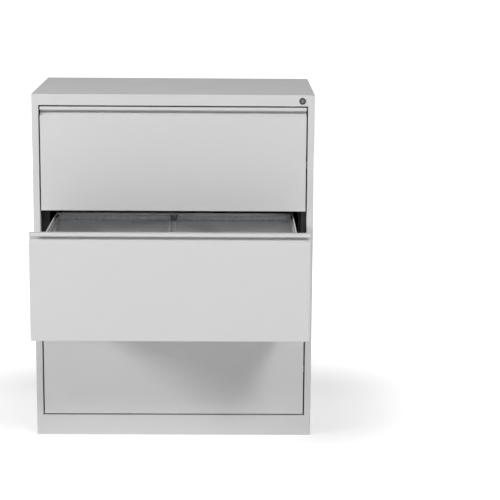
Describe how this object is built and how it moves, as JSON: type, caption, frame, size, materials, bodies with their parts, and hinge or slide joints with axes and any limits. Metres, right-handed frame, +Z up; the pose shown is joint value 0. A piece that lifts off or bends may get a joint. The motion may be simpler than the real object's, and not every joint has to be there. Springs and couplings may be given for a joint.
{
  "type": "side filing cabinet",
  "caption": "Free-standing steel side filing cabinet: full-width drawers on ball runners, folded finger pulls, hanging file rails, cylinder lock, levelling feet.",
  "frame": {"origin": "on the floor, under the middle of the closed case", "axes": "+X to the cabinet's right as seen from the front, +Y to the back, +Z up"},
  "size_m": [0.8, 0.79, 1],
  "materials": {
    "grey_powder_coat": "satin light grey powder coat",
    "galvanised_steel": "galvanised, matt",
    "black_coated_steel": "black electrocoat, matt",
    "zinc_plated_steel": "bright zinc plated",
    "ball_cage_steel": "pressed steel with ground steel balls",
    "lock_chrome": "darkened chrome plate",
    "white_nylon": "moulded nylon",
    "ballast_steel": "primed heavy steel plate",
    "black_polyamide": "moulded black polyamide on a steel stud"
  },
  "bodies": {
    "case": {"left_side_panel": "grey_powder_coat", "right_side_panel": "grey_powder_coat", "top_panel": "grey_powder_coat", "back_panel": "grey_powder_coat", "base_pan": "grey_powder_coat", "front_left_upright": "black_coated_steel", "front_right_upright": "black_coated_steel", "rear_left_upright": "black_coated_steel", "rear_right_upright": "black_coated_steel", "ballast_plate": "ballast_steel", "foot_brackets": "galvanised_steel", "lock_barrel": "lock_chrome", "lock_nut": "zinc_plated_steel", "lock_bar_guides": "white_nylon", "bottom_case_runners": "zinc_plated_steel", "middle_case_runners": "zinc_plated_steel", "top_case_runners": "zinc_plated_steel"},
    "lock_plug": {"lock_plug": "lock_chrome", "lock_cam": "zinc_plated_steel"},
    "lock_bar": {"lock_bar": "zinc_plated_steel"},
    "front_left_foot": {"front_left_foot": "black_polyamide"},
    "front_right_foot": {"front_right_foot": "black_polyamide"},
    "rear_left_foot": {"rear_left_foot": "black_polyamide"},
    "rear_right_foot": {"rear_right_foot": "black_polyamide"},
    "bottom_drawer": {"bottom_drawer_runners": "zinc_plated_steel", "bottom_runner_screws": "zinc_plated_steel", "bottom_drawer_front": "grey_powder_coat", "bottom_drawer_liner": "grey_powder_coat", "bottom_drawer_tray": "grey_powder_coat", "bottom_drawer_back": "grey_powder_coat", "bottom_rail_carriers": "galvanised_steel", "bottom_hanging_rails": "galvanised_steel", "bottom_lock_catch": "zinc_plated_steel"},
    "bottom_centre_runner": {"bottom_centre_runners": "zinc_plated_steel"},
    "bottom_outer_cage": {"bottom_outer_ball_cages": "ball_cage_steel"},
    "bottom_inner_cage": {"bottom_inner_ball_cages": "ball_cage_steel"},
    "middle_drawer": {"middle_drawer_runners": "zinc_plated_steel", "middle_runner_screws": "zinc_plated_steel", "middle_drawer_front": "grey_powder_coat", "middle_drawer_liner": "grey_powder_coat", "middle_drawer_tray": "grey_powder_coat", "middle_drawer_back": "grey_powder_coat", "middle_rail_carriers": "galvanised_steel", "middle_hanging_rails": "galvanised_steel", "middle_lock_catch": "zinc_plated_steel"},
    "middle_centre_runner": {"middle_centre_runners": "zinc_plated_steel"},
    "middle_outer_cage": {"middle_outer_ball_cages": "ball_cage_steel"},
    "middle_inner_cage": {"middle_inner_ball_cages": "ball_cage_steel"},
    "top_drawer": {"top_drawer_runners": "zinc_plated_steel", "top_runner_screws": "zinc_plated_steel", "top_drawer_front": "grey_powder_coat", "top_drawer_liner": "grey_powder_coat", "top_drawer_tray": "grey_powder_coat", "top_drawer_back": "grey_powder_coat", "top_rail_carriers": "galvanised_steel", "top_hanging_rails": "galvanised_steel", "top_lock_catch": "zinc_plated_steel"},
    "top_centre_runner": {"top_centre_runners": "zinc_plated_steel"},
    "top_outer_cage": {"top_outer_ball_cages": "ball_cage_steel"},
    "top_inner_cage": {"top_inner_ball_cages": "ball_cage_steel"}
  },
  "joints": [
    {"name": "bottom_drawer_slide", "type": "slide", "parent": "case", "child": "bottom_drawer", "axis": [0, -1, 0], "range_m": [0, 0.4]},
    {"name": "bottom_centre_runner_slide", "type": "slide", "parent": "case", "child": "bottom_centre_runner", "axis": [0, -1, 0], "range_m": [0, 0.2]},
    {"name": "bottom_outer_cage_slide", "type": "slide", "parent": "case", "child": "bottom_outer_cage", "axis": [0, -1, 0], "range_m": [0, 0.1]},
    {"name": "bottom_inner_cage_slide", "type": "slide", "parent": "case", "child": "bottom_inner_cage", "axis": [0, -1, 0], "range_m": [0, 0.3]},
    {"name": "middle_drawer_slide", "type": "slide", "parent": "case", "child": "middle_drawer", "axis": [0, -1, 0], "range_m": [-0.32, 0.08]},
    {"name": "middle_centre_runner_slide", "type": "slide", "parent": "case", "child": "middle_centre_runner", "axis": [0, -1, 0], "range_m": [-0.16, 0.04]},
    {"name": "middle_outer_cage_slide", "type": "slide", "parent": "case", "child": "middle_outer_cage", "axis": [0, -1, 0], "range_m": [-0.08, 0.02]},
    {"name": "middle_inner_cage_slide", "type": "slide", "parent": "case", "child": "middle_inner_cage", "axis": [0, -1, 0], "range_m": [-0.24, 0.06]},
    {"name": "top_drawer_slide", "type": "slide", "parent": "case", "child": "top_drawer", "axis": [0, -1, 0], "range_m": [0, 0.4]},
    {"name": "top_centre_runner_slide", "type": "slide", "parent": "case", "child": "top_centre_runner", "axis": [0, -1, 0], "range_m": [0, 0.2]},
    {"name": "top_outer_cage_slide", "type": "slide", "parent": "case", "child": "top_outer_cage", "axis": [0, -1, 0], "range_m": [0, 0.1]},
    {"name": "top_inner_cage_slide", "type": "slide", "parent": "case", "child": "top_inner_cage", "axis": [0, -1, 0], "range_m": [0, 0.3]},
    {"name": "lock_turn", "type": "hinge", "parent": "case", "child": "lock_plug", "pos_m": [0.365, -0.225, 0.983], "axis": [0, 1, 0], "range_deg": [0, 90]},
    {"name": "lock_bar_slide", "type": "slide", "parent": "case", "child": "lock_bar", "axis": [0, 0, -1], "range_m": [0, 0.01202]},
    {"name": "front_left_foot_screw", "type": "slide", "parent": "case", "child": "front_left_foot", "axis": [0, 0, -1], "range_m": [0, 0.012]},
    {"name": "front_right_foot_screw", "type": "slide", "parent": "case", "child": "front_right_foot", "axis": [0, 0, -1], "range_m": [0, 0.012]},
    {"name": "rear_left_foot_screw", "type": "slide", "parent": "case", "child": "rear_left_foot", "axis": [0, 0, -1], "range_m": [0, 0.012]},
    {"name": "rear_right_foot_screw", "type": "slide", "parent": "case", "child": "rear_right_foot", "axis": [0, 0, -1], "range_m": [0, 0.012]}
  ],
  "couplings": [
    {"joint": "bottom_centre_runner_slide", "follows": "bottom_drawer_slide", "ratio": 0.5},
    {"joint": "bottom_outer_cage_slide", "follows": "bottom_drawer_slide", "ratio": 0.25},
    {"joint": "bottom_inner_cage_slide", "follows": "bottom_drawer_slide", "ratio": 0.75},
    {"joint": "middle_centre_runner_slide", "follows": "middle_drawer_slide", "ratio": 0.5},
    {"joint": "middle_outer_cage_slide", "follows": "middle_drawer_slide", "ratio": 0.25},
    {"joint": "middle_inner_cage_slide", "follows": "middle_drawer_slide", "ratio": 0.75},
    {"joint": "top_centre_runner_slide", "follows": "top_drawer_slide", "ratio": 0.5},
    {"joint": "top_outer_cage_slide", "follows": "top_drawer_slide", "ratio": 0.25},
    {"joint": "top_inner_cage_slide", "follows": "top_drawer_slide", "ratio": 0.75},
    {"joint": "lock_turn", "follows": "lock_bar_slide", "rad_per_m": 130.67}
  ]
}
